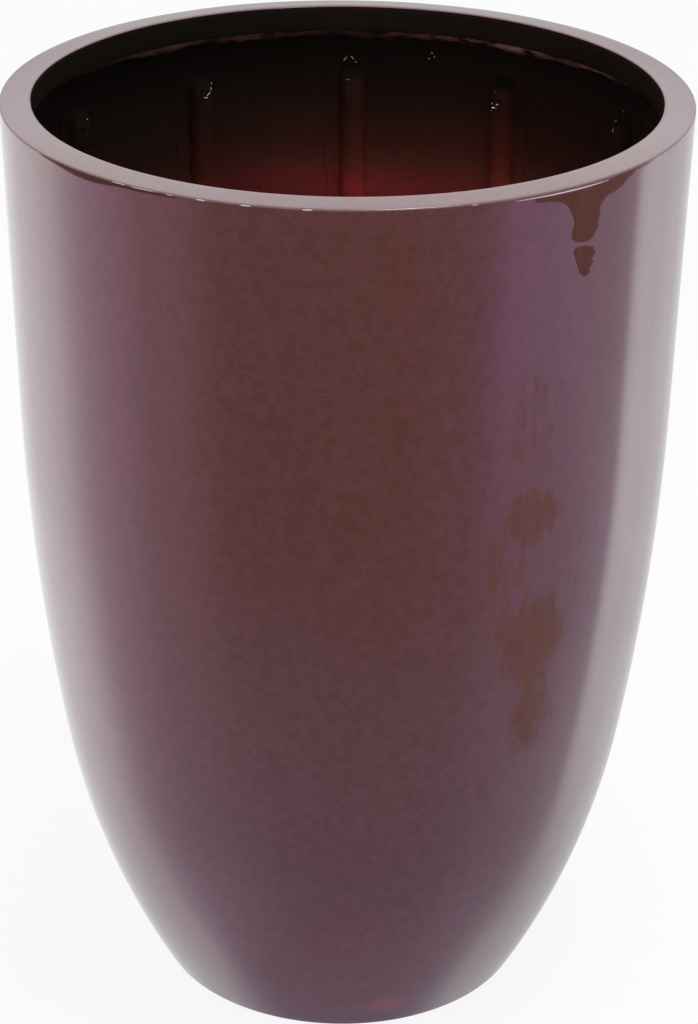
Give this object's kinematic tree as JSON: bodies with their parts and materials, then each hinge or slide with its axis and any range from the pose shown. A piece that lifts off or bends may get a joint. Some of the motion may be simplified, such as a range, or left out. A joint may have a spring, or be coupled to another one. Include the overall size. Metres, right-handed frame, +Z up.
{
  "type": "cachepot",
  "caption": "Tall round cachepot with a flat inturned rim and a wall that bends in to a smaller base; an outer pot that hides and holds a plant in its inner pot.",
  "frame": {"origin": "on the floor, in the middle of the pot's standing ring, under its axis", "axes": "+Z up along the pot's axis; -Y faces the camera of the picture"},
  "size_m": [0.4899, 0.4899, 0.6998],
  "materials": {
    "lacquer": "high-gloss aubergine lacquer on glass-fibre laminate",
    "laminate": "dark painted hand-laid laminate, uneven and wet-looking",
    "batten": "raw softwood",
    "filler": "raw bent plywood hoop",
    "rubber": "matt black"
  },
  "bodies": {
    "root": {"outer_shell": "lacquer", "rim_cap": "lacquer", "rim_hoop": "filler", "rim_cove": "laminate", "base_disc": "laminate", "base_cove": "laminate", "foot_pads": "rubber", "rib_core_01": "batten", "rib_core_02": "batten", "rib_core_03": "batten", "rib_core_04": "batten", "rib_core_05": "batten", "rib_core_06": "batten", "rib_core_07": "batten", "rib_core_08": "batten", "rib_core_09": "batten", "rib_core_10": "batten", "rib_core_11": "batten", "rib_core_12": "batten", "rib_tape_01": "laminate", "rib_tape_02": "laminate", "rib_tape_03": "laminate", "rib_tape_04": "laminate", "rib_tape_05": "laminate", "rib_tape_06": "laminate", "rib_tape_07": "laminate", "rib_tape_08": "laminate", "rib_tape_09": "laminate", "rib_tape_10": "laminate", "rib_tape_11": "laminate", "rib_tape_12": "laminate"}
  },
  "joints": []
}
